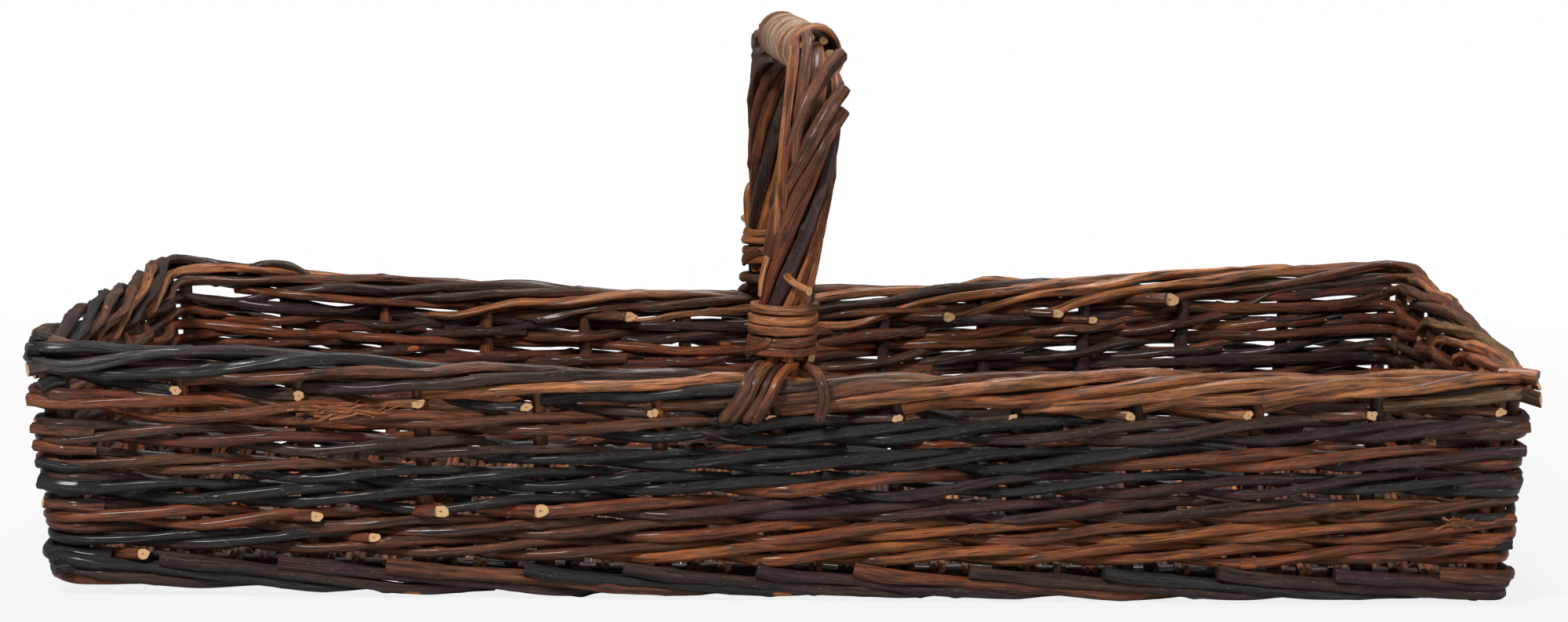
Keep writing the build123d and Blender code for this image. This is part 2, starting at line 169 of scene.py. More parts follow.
def round_corner(wall, level, angle, radius):
    """Point round the corner where a wall starts; the angle is measured from the wall before."""
    half_along, half_out = wall_frame(wall, level)
    along = -half_along - radius * cos(angle)
    out = half_out - corner_radius + radius * sin(angle)
    return raised(turned(wall, along, out), level)


def passing(position, offset, level, rise=0.0):
    """Points of a rod that passes a stake, or the pair of stakes at a corner."""
    position = position % positions
    if position not in corner_positions:
        return [on_wall(position, offset, level)]
    wall = corner_positions.index(position)
    radius = max(corner_radius + offset, 2 * MM)
    turns = ((0, -0.5), (pi / 4, 0), (pi / 2, 0.5)) if offset > 0 else ((pi / 4, -0.5),)
    return [round_corner(wall, level + rise * share, angle, radius) for angle, share in turns]


def outward(position):
    """Unit vector out of the wall at a position, and the one along it."""
    wall = wall_of(position)
    return Vector((*turned(wall, 0, 1), 0)), Vector((*turned(wall, 1, 0), 0))


def wall_span(wall):
    """Positions of the corners where a wall starts and ends."""
    return corner_positions[wall], corner_positions[wall] + wall_gaps[wall]


# Rods


def smooth_line(points, step):
    """Evenly spaced points on a smooth curve through the given ones."""
    knots = np.array(points, float)
    if len(knots) == 2:
        count = max(int(np.linalg.norm(knots[1] - knots[0]) / step), 2)
        return knots[0] + (knots[1] - knots[0]) * np.linspace(0, 1, count + 1)[:, None]
    padded = np.vstack([2 * knots[0] - knots[1], knots, 2 * knots[-1] - knots[-2]])
    gaps = np.linalg.norm(np.diff(padded, axis=0), axis=1) ** 0.5
    dense = []
    for index in range(1, len(padded) - 2):
        before, here, after, beyond = padded[index - 1:index + 3]
        first, middle, last = gaps[index - 1:index + 2]
        leave = (here - before) / first - (after - before) / (first + middle) + (after - here) / middle
        arrive = (after - here) / middle - (beyond - here) / (middle + last) + (beyond - after) / last
        leave, arrive = leave * middle, arrive * middle
        share = np.linspace(0, 1, 24, endpoint=False)[:, None]
        cube, square = share ** 3, share ** 2
        dense.append((2 * cube - 3 * square + 1) * here + (cube - 2 * square + share) * leave
                     + (3 * square - 2 * cube) * after + (cube - square) * arrive)
    dense.append(knots[-1:])
    return evenly(np.vstack(dense), step)


def lengths_along(line):
    """Each point's distance from the line's start."""
    return np.concatenate([[0], np.cumsum(np.linalg.norm(np.diff(line, axis=0), axis=1))])


def between(wanted, places, values):
    """Rows of three values at the wanted places."""
    return np.stack([np.interp(wanted, places, values[:, axis]) for axis in range(3)], axis=-1)


def evenly(line, step):
    """The same line with its points a step apart."""
    lengths = lengths_along(line)
    count = max(int(lengths[-1] / step), 2)
    return between(np.linspace(0, lengths[-1], count + 1), lengths, line)


def unit(vectors):
    return vectors / np.maximum(np.linalg.norm(vectors, axis=-1, keepdims=True), 1e-12)


def carried_sides(tangents):
    """A side vector at each point, turned as little as the line allows."""
    side = np.array((1.0, 0, 0) if abs(tangents[0][2]) > 0.95 else (0, 0, 1.0))
    sides = []
    for tangent in tangents:
        side = side - tangent * (side @ tangent)
        side = side / np.linalg.norm(side)
        sides.append(side)
    return np.array(sides)


def turns_from(heading, angles):
    """Signed turns from a heading round a rod."""
    return np.angle(np.exp(1j * (angles - heading)))


def waves(random, distances, amplitude, longest, shortest, count=3):
    """Smooth random values along a rod."""
    total = np.zeros_like(distances)
    for _ in range(count):
        length = random.uniform(shortest, longest)
        total += np.sin(tau * (distances / length + random.random()))
    return amplitude * total / count


both_bark = ("bark", "bark")


class Rods:
    """Rods that are collected into one piece, with the settings that they share."""

    def __init__(self, name, **settings):
        self.name, self.settings = name, settings
        self.random = seeded(name)
        self.parts, self.count = [], 0

    def put(self, points, faces, slot, *values):
        """Keep one part's mesh with its tones, grain, marks and worn spots."""
        self.parts.append((points, faces + self.count, np.full(len(faces), slot), *values))
        self.count += len(points)

    def rod(self, points, diameter, tone, **settings):
        self.make(points, diameter, tone, **{**self.settings, **settings})

    def make(self, points, diameter, tone, sides=14, step=2.2 * MM, taper=(1.0, 1.0), sway=0.4 * MM,
             wrinkle=0.06, knot_gap=30 * MM, knot_size=0.7 * MM, ends=("cut", "cut"), end_face=None,
             flat=1, facing=None, nicks=0, smooth=True, tone_end=None, round_off=0.0):
        """One rod along the points.

        tone names its colour and tone_end the colour that it turns into. end_face is the
        direction that a cut end looks in. flat is the share of the width that a split rod is
        thick, and facing gives the way its flat sides look.
        """
        random = self.random
        line = smooth_line(points, step) if smooth else evenly(np.array(points, float), step)
        distances = lengths_along(line)
        length = distances[-1]
        if sway:
            fade = np.minimum(np.minimum(distances, length - distances) / (12 * MM), 1)
            kinks = np.cumsum(random.uniform(14, 55, int(length / (14 * MM)) + 2)) * MM
            for axis in range(3):
                line[:, axis] += fade * waves(random, distances, sway, 120 * MM, 35 * MM)
                line[:, axis] += fade * np.interp(distances, kinks, random.normal(0, sway, len(kinks)))
        tangents = unit(np.gradient(line, axis=0))
        if facing is None:
            side = carried_sides(tangents)
        else:
            facing = np.array(facing, float)
            facing = between(np.linspace(0, 1, len(line)), np.linspace(0, 1, len(facing)), facing)
            side = unit(facing - tangents * np.sum(facing * tangents, axis=1)[:, None])
        across = np.cross(tangents, side)

        shares, along = distances / length, distances[:, None]
        radius = diameter / 2 * (taper[0] + (taper[1] - taper[0]) * shares)
        radius = radius * (1 + waves(random, distances, 0.09, 80 * MM, 14 * MM))
        if round_off:
            radius = radius * np.sqrt(np.clip((length - distances) / round_off, 0.02, 1))
        radius = radius[:, None]
        angles = np.arange(sides) * tau / sides
        cosines, sines = np.cos(angles), np.sin(angles)
        swell, marks, bumps, worn = np.zeros((4, len(line), sides))
        for fold in (2, 3, 4, 6):
            drift = waves(random, distances, 2.5, 160 * MM, 60 * MM, 2)[:, None]
            size = wrinkle * random.uniform(0.5, 1.0) * (1.4 if fold == 2 else 1)
            swell += size * np.cos(fold * angles + drift + random.uniform(0, tau))
        # knots, each about half a turn on from the one before
        place = random.uniform(0.3, 1.0) * knot_gap
        heading = random.uniform(0, tau)
        while knot_gap and place < length - 4 * MM:
            reach = (along - place) / (random.uniform(1.8, 3.4) * MM)
            shape = np.exp(-reach ** 2 - (turns_from(heading, angles) / 0.6) ** 2)
            bumps += random.uniform(0.5, 1.4) * knot_size * shape + 0.25 * knot_size * np.exp(-reach ** 2)
            marks = np.maximum(marks, shape * random.uniform(0.5, 1))
            heading += pi + random.uniform(-0.7, 0.7)
            place += knot_gap * random.uniform(0.5, 1.6)
        # nicks, where the bark is worn off
        for _ in range(nicks):
            place = random.uniform(0.08, 0.92) * length
            turn = turns_from(random.uniform(0, tau), angles)
            reach = (along - place) / (random.uniform(2.5, 6) * MM)
            worn = np.maximum(worn, np.exp(-reach ** 4 - (turn / 0.7) ** 4))
        bumps -= worn * 0.12 * MM

        rings = radius * (1 + swell) + bumps
        bend, spread = cosines, sines
        if flat < 1:
            bend, spread = (np.abs(values) ** power * np.sign(values)
                            for values, power in ((cosines, 0.7), (sines, 0.6)))
        mesh = (line[:, None] + side[:, None] * (rings * flat * bend)[..., None]
                + across[:, None] * (rings * spread)[..., None])
        if end_face is not None and ends[1] == "cut":
            normal = np.array(end_face, float)
            normal /= np.linalg.norm(normal)
            lean = normal @ tangents[-1]
            if abs(lean) > 0.3:
                slide = np.clip(-((mesh[-1] - line[-1]) @ normal) / lean, -1.6 * diameter, 1.6 * diameter)
                mesh[-1] += tangents[-1] * slide[:, None]

        start_tone = linear(palette[tone]) * random.uniform(0.8, 1.25)
        last_tone = linear(palette[tone_end]) * random.uniform(0.88, 1.14) if tone_end else start_tone
        blend = np.clip((shares - 0.5) * 2.5 + 0.5, 0, 1)[:, None]
        tones = np.repeat((start_tone + (last_tone - start_tone) * blend)[:, None], sides, axis=1)
        offset = random.uniform(0, 40)
        grain = np.stack(np.broadcast_arrays(
            along + offset, radius * cosines + offset * 0.37, radius * sines), axis=-1)
        rows, columns = np.arange(len(line) - 1)[:, None] * sides, np.arange(sides)
        following = rows + (columns + 1) % sides
        columns = rows + columns
        faces = np.stack([columns, following, following + sides, columns + sides], axis=-1)
        self.put(mesh.reshape(-1, 3), faces.reshape(-1, 4), 0, tones.reshape(-1, 3),
                 grain.reshape(-1, 3), marks.ravel(), worn.ravel())
        for index, kind, flip in ((0, ends[0], True), (-1, ends[1], False)):
            self.cap(mesh[index], kind, flip, tones[index])

    def cap(self, ring, kind, flip, tones):
        """Close a rod's end: pale wood where it is cut, bark where it isn't."""
        sides, inner = len(ring), 0.55
        centre = ring.mean(axis=0)
        points = np.vstack([ring, centre + (ring - centre) * inner, centre[None, :]])
        order = np.arange(sides)
        following = (order + 1) % sides
        tip = np.full(sides, 2 * sides)
        faces = np.vstack([np.stack([order, following, following + sides, order + sides], axis=1),
                           np.stack([order + sides, following + sides, tip, tip], axis=1)])
        if flip:
            faces = faces[:, ::-1]
        spread = np.concatenate([np.ones(sides), np.full(sides, inner), [0]])
        turns = np.concatenate([order, order, [0]]) * tau / sides
        grain = np.stack([np.full(len(points), self.random.uniform(0, 9)),
                          spread * np.cos(turns), spread * np.sin(turns)], axis=1)
        tones = np.vstack([tones, tones, tones[:1]])
        self.put(points, faces, int(kind == "cut"), tones, grain, spread * 0, spread * 0)

    def piece(self, materials, slot, *nodes):
        """Make the mesh, ride it on the root and let it stand for its nodes."""
        points, faces, slots, tones, grain, marks, worn = map(np.concatenate, zip(*self.parts))
        mesh = bpy.data.meshes.new(self.name)
        # a cap's inner faces name its centre twice and become triangles
        polygons = [list(dict.fromkeys(face)) for face in faces.tolist()]
        mesh.from_pydata(points.tolist(), [], polygons)
        mesh.polygons.foreach_set("use_smooth", np.ones(len(polygons), bool))
        mesh.polygons.foreach_set("material_index", slots.astype(np.int32))
        tones = np.hstack([tones, np.ones((len(tones), 1))])
        for name, kind, field, values in (
                ("tone", "FLOAT_COLOR", "color", tones), ("grain", "FLOAT_VECTOR", "vector", grain),
                ("mark", "FLOAT", "value", marks), ("worn", "FLOAT", "value", worn)):
            layer = mesh.attributes.new(name, kind, "POINT")
            layer.data.foreach_set(field, values.astype(np.float32).ravel())
        for material in materials:
            mesh.materials.append(material)
        item = added(self.name, mesh)
        if nodes:
            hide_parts(*nodes)
        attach(item, "root")


# Materials


class Nodes:
    """Short calls for building the nodes of a material or the world."""

    def __init__(self, owner, shader="Principled BSDF"):
        self.owner = owner
        owner.use_nodes = True
        self.tree = owner.node_tree
        self.shader = self.tree.nodes[shader]

    def fed(self, kind, values, **settings):
        """A new node with its settings, and its inputs linked or set to constants."""
        made = self.tree.nodes.new("ShaderNode" + kind)
        for name, value in settings.items():
            setattr(made, name, value)
        for name, value in values.items():
            self.feed(value, made.inputs[name])
        return made

    def feed(self, value, socket):
        if isinstance(value, bpy.types.NodeSocket):
            self.tree.links.new(value, socket)
        else:
            socket.default_value = value

    def shade(self, **values):
        """Set the shader's inputs, whose names have spaces for underlines."""
        for name, value in values.items():
            self.feed(value, self.shader.inputs[name.replace("_", " ")])

    def value(self, name, output):
        return self.fed("Attribute", {}, attribute_name=name).outputs[output]

    def stretched(self, vector, scale):
        return self.fed("Mapping", {"Scale": scale, "Vector": vector}).outputs["Vector"]

    def noise(self, vector, scale, detail, rough):
        return self.fed("TexNoise", {
            "Scale": 1, "Detail": detail, "Roughness": rough,
            "Vector": self.stretched(vector, scale)}).outputs["Fac"]

    def ranged(self, value, low, high, to_low=0.0, to_high=1.0):
        return self.fed("MapRange", {
            "Value": value, "From Min": low, "From Max": high, "To Min": to_low,
            "To Max": to_high}).outputs["Result"]

    def mixed(self, share, first, second, blend="MIX"):
        # the colour inputs and output of a node that has them for each kind of value
        made = self.fed("Mix", {0: share, 6: first, 7: second}, data_type="RGBA", blend_type=blend)
        return made.outputs[2]

    def maths(self, operation, first, second=0):
        return self.fed("Math", {0: first, 1: second}, operation=operation).outputs[0]

    def bump(self, height, strength, distance):
        made = self.fed("Bump", {"Height": height, "Strength": strength, "Distance": distance})
        self.shade(Normal=made.outputs["Normal"])


def rgba(colour):
    """A colour by its name, or out of 255, for a socket."""
    return (*linear(palette[colour] if isinstance(colour, str) else colour), 1)


def bark(name, gloss, warm, ridges, cracks):
    """Bark of a rod: streaks along it, patches of another shade, cracks, dots, knots, worn spots."""
    n = Nodes(bpy.data.materials.new(name))
    grain = n.value("grain", "Vector")
    streak = n.noise(grain, (38, 620, 620), 6, 0.7)
    fibre = n.noise(grain, (120, 2400, 2400), 4, 0.75)
    patch = n.noise(grain, (17, 170, 170), 4, 0.65)
    blotch = n.noise(grain, (95, 330, 330), 5, 0.75)
    crack = n.noise(grain, (60, 900, 900), 3, 0.5)
    dots = n.fed("TexVoronoi", {"Scale": 1, "Vector": n.stretched(grain, (230, 620, 620))})
    spot = n.ranged(dots.outputs["Distance"], 0.16, 0.1)
    light = n.maths("MULTIPLY", n.ranged(streak, 0.36, 0.64, 0.3, 1.8),
                    n.ranged(fibre, 0.35, 0.65, 0.65, 1.3))
    colour = n.mixed(1.0, n.value("tone", "Color"), light, "MULTIPLY")
    # each layer: where it shows, its colour, and how it is laid over the ones before
    for share, shade, blend in (
            (n.ranged(patch, 0.5, 0.66, 0, warm), rgba("copper"), "OVERLAY"),
            (n.ranged(patch, 0.46, 0.3, 0, 0.7), rgba("umber"), "MULTIPLY"),
            (n.ranged(blotch, 0.58, 0.72, 0, 0.65), (0.010, 0.007, 0.006, 1), "MIX"),
            (n.ranged(blotch, 0.4, 0.25, 0, 0.22), rgba("tan"), "SCREEN"),
            (n.ranged(crack, 0.6, 0.68, 0, cracks), (0.008, 0.005, 0.005, 1), "MIX"),
            (n.maths("MULTIPLY", spot, 0.4), rgba((156, 112, 78)), "MIX"),
            (n.maths("MULTIPLY", n.value("mark", "Fac"), 0.8), (0.008, 0.005, 0.004, 1), "MIX")):
        colour = n.mixed(share, colour, shade, blend)
    worn = n.maths("ADD", n.value("worn", "Fac"), n.maths("MULTIPLY", fibre, 0.5))
    wood = n.mixed(streak, rgba((150, 70, 26)), rgba((206, 124, 60)))
    rough = n.ranged(streak, 0.35, 0.65, gloss + 0.18, gloss - 0.14)
    n.shade(Base_Color=n.mixed(n.ranged(worn, 0.75, 0.95), colour, wood),
            Roughness=n.maths("ADD", rough, n.ranged(blotch, 0.35, 0.7, 0, 0.25)),
            Specular_IOR_Level=0.38, Coat_Weight=0.14, Coat_Roughness=0.16)
    height = streak
    for layer in (fibre, blotch):
        height = n.maths("ADD", height, n.maths("MULTIPLY", layer, 0.5))
    n.bump(n.maths("SUBTRACT", height, n.ranged(crack, 0.58, 0.7, 0, 0.8)), ridges, 0.85 * MM)
    return n.owner


def cut_wood(name):
    """Pale cut end: fine rings, a dark pith, knife marks and a bark edge."""
    n = Nodes(bpy.data.materials.new(name))
    grain = n.value("grain", "Vector")
    split = n.fed("SeparateXYZ", {0: grain}).outputs
    squares = [n.maths("MULTIPLY", split[axis], split[axis]) for axis in (1, 2)]
    reach = n.maths("SQRT", n.maths("ADD", *squares))
    knife = n.noise(grain, (3, 4, 16), 4, 0.7)
    rings = n.maths("SINE", n.maths("MULTIPLY", reach, 22))
    colour = n.mixed(knife, rgba((190, 130, 72)), rgba((240, 206, 156)))
    for share, shade in ((n.ranged(rings, 0.2, 1, 0, 0.25), (170, 112, 66)),
                         (n.ranged(reach, 0.2, 0.1), (120, 70, 40)),
                         (n.ranged(reach, 0.86, 0.98), (60, 36, 26))):
        colour = n.mixed(share, colour, rgba(shade))
    n.shade(Base_Color=colour, Roughness=0.75)
    n.bump(knife, 0.5, 0.3 * MM)
    return n.owner


cut = cut_wood("cut_willow")
# Each bark's gloss, warmth, depth of ridges and share of cracks
wall_bark, rim_bark, foot_bark, stake_bark, base_bark, rope_bark, wrap_bark = (
    [bark(f"{name}_bark", *looks), cut] for name, *looks in (
        ("weaver", 0.3, 0.45, 1.0, 0.6), ("border", 0.38, 0.5, 1.0, 0.8), ("foot", 0.38, 0.6, 0.9, 0.6),
        ("stake", 0.40, 0.4, 0.7, 0.4), ("base", 0.55, 0.5, 0.8, 0.5), ("rope", 0.42, 0.6, 0.9, 0.6),
        ("wrap", 0.55, 0.3, 0.9, 0.5)))

# Stakes

stake_ends = (1.5 * MM, border_level - 2 * MM)
beside_stake = stake_rod / 2 + rod_gap


def stake_line(position, angle=None):
    """A stake's two ends; each of a corner's pair has its angle round the corner."""
    if angle is None:
        return [on_wall(position, 0, level) for level in stake_ends]
    wall = corner_positions.index(position % positions)
    return [round_corner(wall, level, angle, corner_radius) for level in stake_ends]


for wall, wall_name in enumerate(walls):
    rods = Rods(f"stakes_{wall_name}_bark", taper=(1.03, 0.95), sway=0.1 * MM)
    first, last = wall_span(wall)
    for line in (stake_line(first, pi / 2), *map(stake_line, range(first + 1, last)), stake_line(last, 0)):
        rods.rod(line, stake_rod, rods.random.choice(["brown", "plum", "rust", "brown"]))
    rods.piece(stake_bark, "stakes", f"stakes_{wall_name}")

# Wall weave

# Shades along the front wall, each up to a count of stake gaps from its left corner
front_shades = (
    ((2.2, "ink"), (5.0, "brown"), (9.0, "copper"), (13, "rust")),
    ((1.8, "rust"), (4.5, "brown"), (7.0, "rust"), (11, "copper"), (13, "rust")),
    ((3.8, "ink"), (4.6, "rust"), (8.2, "plum"), (9.8, "umber"), (11.6, "brown"), (13, "coal")),
    ((1.8, "brown"), (5.5, "ink"), (9.4, "rust"), (10.6, "plum"), (13, "coal")),
    ((2.2, "russet"), (4.0, "umber"), (8.6, "ink"), (10.6, "rust"), (13, "plum")),
    ((2.6, "rust"), (4.8, "brown"), (8.2, "ink"), (10.5, "umber"), (13, "plum")),
)
other_shades = "umber rust russet umber rust plum rust brown russet".split()
filler_shades = "rust russet umber brown umber plum rust rust".split()
filler_rod = 5.0 * MM
thin_filler_rod = filler_rod * 0.8
# fill-in rods over the top round, in all walls but the front: half way up to over_top, and one more row
# in the rear wall at extra_level
over_top = 10 * MM
extra_level = round_levels[-1] + 10.5 * MM


def weaver_points(first, rod, middle, start, stop, random):
    """One weaver's way from behind one stake to behind another."""
    out = beside_stake + rod / 2
    low = middle - rod * wale_spread / 2
    high = middle + rod * wale_spread / 2
    points = [on_wall(first + start - 0.4, 0, middle), on_wall(first + start, -out, middle),
              on_wall(first + start + 0.5, -0.1 * rod, low)]
    for step in range(start + 1, stop):
        position = first + step
        stray = random.normal(0, 0.5) * MM
        if step % 3 == 1:
            points += passing(position, out, low + stray)
        elif step % 3 == 2:
            points += passing(position, out, high + stray)
            points.append(on_wall(position + 0.5, 0.15 * rod, high + stray))
        else:
            points += passing(position, -out, middle + stray)
            points.append(on_wall(position + 0.5, -0.1 * rod, low))
    return points + [on_wall(first + stop, -out - 0.15 * rod, middle),
                     on_wall(first + stop + 0.4, -0.1 * rod, middle)]


def filler_points(start, stop, rod, level, random):
    """A rod between two rounds, inside every third stake and near corners, let into the others."""
    points = [on_wall(start - 0.5, 0, level)]
    turn = int(random.integers(0, 3))
    for position in range(start, stop + 1):
        near_corner = min(abs(position - corner) for corner in corner_positions) <= 1
        inside = near_corner or position % 3 == turn
        depth = -beside_stake - rod / 2 if inside else 1.4 * MM
        points += passing(position, depth, level + random.normal(0, 0.4) * MM)
    return points + [on_wall(stop + 0.5, 0, level)]


def shade_at(round_index, position, random):
    """Shade of the bark that shows at a position."""
    position = position % positions
    if position <= long_gaps + 0.6 or position > positions - 0.4:
        for last, name in front_shades[round_index]:
            if position <= last:
                return name
    return random.choice(other_shades)


for round_index, middle in enumerate(round_levels):
    rods = Rods(f"weave_round_{round_index + 1}", taper=(1.08, 0.9))
    random = rods.random
    rod = upsett_rod if round_index < upsett_rounds else weaver_rod
    for weaver in range(3):
        first = first_join_position + weaver
        start = 0
        while start < positions:
            stop = min(start + 3 * int(random.integers(1, 4)), positions)
            if positions - stop < 3:
                stop = positions
            tone = shade_at(round_index, first + start + 1.5, random)
            later = shade_at(round_index, first + stop - 1.5, random)
            points = weaver_points(first, rod, middle, start, stop, random)
            rods.rod(points, rod * random.uniform(0.84, 1.1), tone, tone_end=later, taper=(1.14, 0.86),
                     nicks=int(random.random() < 0.3))
            start = stop
    above = (*round_levels, middle + over_top)[round_index + 1]
    start = long_gaps + int(random.integers(0, 3))
    while start < positions - 2:
        stop = min(start + int(random.integers(3, 7)), positions - 1)
        tone = random.choice(filler_shades)
        points = filler_points(start, stop, filler_rod, (middle + above) / 2, random)
        rods.rod(points, filler_rod * random.uniform(0.88, 1.05), tone)
        start = stop + 1
    if middle == round_levels[-1]:
        for start in range(corner_positions[2], corner_positions[3] - 3, 4):
            tone = random.choice(["rust", "brown", "umber", "russet"])
            points = filler_points(start, start + 3, thin_filler_rod, extra_level, random)
            rods.rod(points, thin_filler_rod, tone)
    rods.piece(wall_bark, "weavers", *(f"wale_{round_index + 1}_rod_{number}" for number in (1, 2, 3)))

# Foot border

foot_step = foot_rod * 0.74
foot_low = foot_rod * 0.725
foot_shades = "coal umber plum brown ink umber plum rust umber".split()


def foot_points(position, random):
    """A foot rod, from its butt down past three stakes and in under the wall."""
    out = beside_stake + foot_rod / 2
    butt = random.uniform(0.15, 0.36)
    points = [on_wall(position - butt, out + 2 * MM, foot_low + foot_step * random.uniform(2.2, 2.65))]
    for step in range(3):
        lift = (1.8 - 0.9 * step) * MM
        points += passing(position + step, out + lift, foot_low + foot_step * (2 - step), -0.4 * foot_step)
    return points + [on_wall(position + 2.55, 0, foot_low)]


for wall, wall_name in enumerate(walls):
    rods = Rods(f"foot_{wall_name}_bark", step=1.8 * MM, taper=(1.26, 0.84), wrinkle=0.08,
                knot_gap=26 * MM, ends=("bark", "cut"))
    random = rods.random
    for position in range(*wall_span(wall)):
        rods.rod(foot_points(position, random), foot_rod * random.uniform(0.92, 1.06),
                 foot_shades[position % len(foot_shades)], nicks=int(random.random() < 0.45))
    rods.piece(foot_bark, "foot_rods", f"foot_border_{wall_name}")

# Rolled border

border_shades = {
    "front": "coal brown umber tan coal brown tan copper tan tan tan olive".split(),
    "right": "tan brown tan brown olive tan".split(),
    "rear": "brown umber tan brown umber brown umber brown tan umber brown ink".split(),
    "left": "slate coal umber slate coal slate".split(),
}
border_gaps = 6
border_start = -75.0
stub_back = 0.03


def border_points(position, random):
    """A border rod: rolled round the core along its gaps, then out under the border as a stub."""
    angle, ring = radians(border_start), border_ring
    points = [on_wall(position + 0.03, ring * cos(angle), border_level + ring * sin(angle))]
    for step in range(1, border_gaps):
        angle = radians(border_start + 60 * step + random.uniform(-9, 9))
        ring = border_ring + random.uniform(-0.4, 0.3) * MM
        points += passing(position + step, ring * cos(angle), border_level + ring * sin(angle))
    end = position + border_gaps + random.uniform(-0.07, 0.05)
    stub_level = border_level - border_ring - border_rod * random.uniform(0.5, 0.75)
    return points + [on_wall(end - 0.6, -border_ring / 2, stub_level),
                     on_wall(end - stub_back, beside_stake + border_rod / 2, stub_level)]


for wall, wall_name in enumerate(walls):
    rods = Rods(f"border_{wall_name}_bark", sides=16, step=1.8 * MM, taper=(1.12, 0.84), wrinkle=0.12,
                sway=0.8 * MM)
    random = rods.random
    for position, tone in enumerate(border_shades[wall_name], corner_positions[wall]):
        out, along = outward(position + border_gaps - stub_back)
        later = random.choice(["brown", "umber", "tan"]) if random.random() < 0.5 else tone
        rods.rod(border_points(position, random), border_rod * random.uniform(0.86, 1.0), tone,
                 tone_end=later, end_face=out * 0.88 + along * 0.5, nicks=int(random.random() < 0.15))
    rods.piece(rim_bark, "border_rods", f"top_border_{wall_name}")

rods = Rods("border_core_bark")
core = [point for position in range(positions) for point in passing(position, 0, border_level)]
rods.rod([*core, core[0]], border_core_rod, "umber", sides=8, step=5 * MM)
rods.piece(rim_bark, "border_rods", "top_border_core")

# Base

base_level = 9.16 * MM
base_stick = 6.5 * MM
base_weaver = 2.9 * MM
base_sticks = 7
base_rows = 92
base_shades = "tan olive copper brown rust umber brown".split()
weave_edge, stick_end = (wall_frame(wall, base_level)[1] - beside_stake for wall in (0, 1))
stick_edge = weave_edge - base_stick / 2
stick_places = [stick_edge * (2 * index / (base_sticks - 1) - 1) for index in range(base_sticks)]

rods = Rods("base_sticks_bark", step=4 * MM)
for y in stick_places:
    points = [raised((stick_end * (step / 4 - 1), y), base_level) for step in range(9)]
    rods.rod(points, base_stick, "umber")
rods.piece(base_bark, "base_rods", "base_sticks")

rods = Rods("base_weave_bark", sides=8, step=4.8 * MM, knot_gap=60 * MM, sway=0.12 * MM,
            ends=both_bark)
random = rods.random
sway = base_stick / 2 + base_weaver / 2
reach = wall_frame(1, base_level)[1] - 7 * MM
for row in range(base_rows):
    middle = reach * (2 * row / (base_rows - 1) - 1)
    tone = random.choice(base_shades)
    for lane in (-0.5, 0.5):
        side = 1 if row % 2 == 0 else -1
        x = middle + lane * base_weaver
        front, rear = (weave_edge + random.uniform(1, 7) * MM for _ in range(2))
        points = [raised((x, -front), base_level + side * sway * 0.6)]
        for y in stick_places:
            points.append(raised((x + random.uniform(-0.3, 0.3) * MM, y), base_level + side * sway))
            side = -side
        points.append(raised((x, rear), base_level - side * sway * 0.6))
        rods.rod(points, base_weaver, tone)
rods.piece(base_bark, "base_rods", "base_weave")

# Handle

bow_rod = 9 * MM
crown_height = 217.5 * MM
crown_corner_radius = 42 * MM
crown_end = 41 * MM
leg_bend_radius = 130 * MM
leg_bend_rise = 14 * MM
crown_corner_inset = 3 * MM
leg_x = {"front": 0.5 * MM, "rear": -6 * MM}
front_crown_x, rear_crown_x = 17 * MM, -6.5 * MM
crown_tips = 7
packed_roping = 2.7 * MM
roping_rod = 5.35 * MM
roping_swell = 0.8 * MM
roping_pitch = 210 * MM
wrap_width = 6.7 * MM
wrap_thickness = 2.1 * MM
wrap_turns = 22
wrap_on_bend = 13 * MM
binding_turns = {"front": 5, "rear": 4}
binding_rise = {"front": 9 * MM, "rear": 15 * MM}
binding_drop = {"front": 3 * MM, "rear": 0}
binding_width = 3.7 * MM
binding_thickness = 3.0 * MM
binding_pitch = 4.3 * MM
tail_rod = 4.5 * MM
tail_drop = 18 * MM
bow_inset = border_radius + rod_gap + bow_rod / 2
bow_foot_level = 15.8 * MM
tight_ring = bow_rod / 2 + 0.9 * MM + packed_roping
tip_rod = 3.6 * MM
tip_ring = bow_rod / 2 + 0.2 * MM + tip_rod / 2
wrap_ring = tip_ring + tip_rod / 2 + rod_gap + wrap_thickness / 2
binding_ring = tight_ring + packed_roping + rod_gap + binding_thickness / 2
per_turn = 24


def filleted(points, radii, step):
    """A line with round corners."""
    corners = [np.array(point, float) for point in points]
    line = [corners[0]]
    for before, corner, after, radius in zip(corners, corners[1:], corners[2:], radii):
        towards, onward = unit(before - corner), unit(after - corner)
        half = np.arccos(np.clip(towards @ onward, -1, 1)) / 2
        reach = radius / np.tan(half)
        centre = corner + unit(towards + onward) * radius / np.sin(half)
        start, stop = corner + towards * reach - centre, corner + onward * reach - centre
        swing = pi - 2 * half
        count = max(int(radius * swing / step), 4)
        for share in np.linspace(0, 1, count + 1):
            weight = np.sin((1 - share) * swing), np.sin(share * swing)
            line.append(centre + (start * weight[0] + stop * weight[1]) / np.sin(swing))
    line.append(corners[-1])
    return evenly(np.array(line), step)


